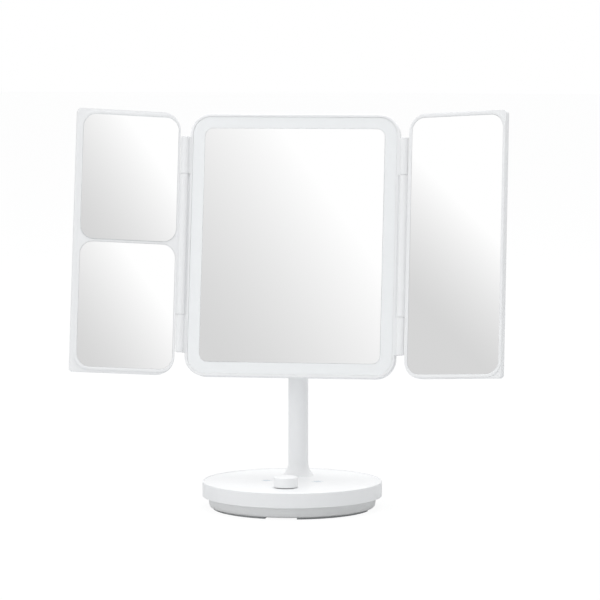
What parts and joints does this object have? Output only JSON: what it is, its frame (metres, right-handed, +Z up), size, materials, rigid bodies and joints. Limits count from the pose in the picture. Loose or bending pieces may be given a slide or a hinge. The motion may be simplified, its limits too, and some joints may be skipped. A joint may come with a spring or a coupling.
{
  "type": "trifold vanity mirror",
  "caption": "Lighted trifold vanity mirror on a round base: tilting centre mirror with a light ring, folding side wings, a magnifying mirror, and a dimmer knob that turns and presses.",
  "frame": {"origin": "centre of the footprint at the underside of the rubber feet, as it stands on a table", "axes": "+X to the user's right when facing the mirrors, +Y away from the user, +Z up"},
  "size_m": [0.3606, 0.15, 0.3336],
  "materials": {
    "white_plastic": "satin moulded ABS",
    "base_plastic": "fine matt moulded ABS",
    "diffuser_plastic": "frosted light diffuser",
    "mirror_glass": "silvered glass",
    "steel": "zinc plated",
    "brass": "plain",
    "rubber": "matt",
    "circuit_board": "solder mask",
    "battery_wrap": "shrink film",
    "wire_sheath": "soft sheath",
    "foam": "adhesive foam",
    "led_plastic": "phosphor coated"
  },
  "bodies": {
    "base": {"base_tray": "white_plastic", "base_bottom": "base_plastic", "ballast_plate": "steel", "rubber_feet": "rubber", "base_screws": "steel", "control_board": "circuit_board", "board_screws": "steel", "battery": "battery_wrap", "charge_board": "circuit_board", "charge_socket": "steel", "dimmer_body": "steel", "switch_dome": "brass", "base_wires": "wire_sheath", "stem_tube": "white_plastic", "stem_nut": "brass", "stem_cable": "wire_sheath", "tilt_yoke": "white_plastic", "tilt_bolt": "steel", "tilt_nut": "steel", "friction_washers": "brass", "yoke_caps": "white_plastic"},
    "head": {"tilt_bracket": "white_plastic", "bracket_screws": "steel", "backing_plate": "steel", "centre_frame": "white_plastic", "light_diffuser": "diffuser_plastic", "centre_mirror": "mirror_glass", "centre_mirror_foam": "foam", "mirror_carrier": "base_plastic", "led_board": "circuit_board", "led_chips": "led_plastic", "led_lead": "wire_sheath", "rear_shell": "white_plastic", "head_screws": "steel", "left_hinge_pin": "steel", "right_hinge_pin": "steel"},
    "left_wing": {"left_wing_frame": "white_plastic", "left_wing_back": "white_plastic", "left_upper_mirror": "mirror_glass", "left_upper_foam": "foam", "left_lower_mirror": "mirror_glass", "left_lower_foam": "foam"},
    "right_wing": {"right_wing_frame": "white_plastic", "right_wing_back": "white_plastic", "right_mirror": "mirror_glass", "right_foam": "foam"},
    "plunger": {"switch_plunger": "rubber"},
    "knob": {"dimmer_knob": "white_plastic", "dimmer_shaft": "steel"}
  },
  "joints": [
    {"name": "head_tilt", "type": "hinge", "parent": "base", "child": "head", "pos_m": [0, 0.036, 0.213], "axis": [-1, 0, 0], "range_deg": [-15, 65]},
    {"name": "left_wing_hinge", "type": "hinge", "parent": "head", "child": "left_wing", "pos_m": [-0.0923, -0.00284, 0.2202], "axis": [0, 0.1822, 0.9833], "range_deg": [-19.5, 160]},
    {"name": "right_wing_hinge", "type": "hinge", "parent": "head", "child": "right_wing", "pos_m": [0.0923, -0.00284, 0.2202], "axis": [0, -0.1822, -0.9833], "range_deg": [-19.5, 160]},
    {"name": "knob_press", "type": "slide", "parent": "base", "child": "plunger", "axis": [0, 0, -1], "range_m": [0, 0.0004], "stiffness_N_per_m": 4000, "springref_m": -0.0004},
    {"name": "knob_turn", "type": "hinge", "parent": "plunger", "child": "knob", "pos_m": [0, -0.0385, 0.023], "axis": [0, 0, 1], "range_deg": [-140, 140]}
  ]
}
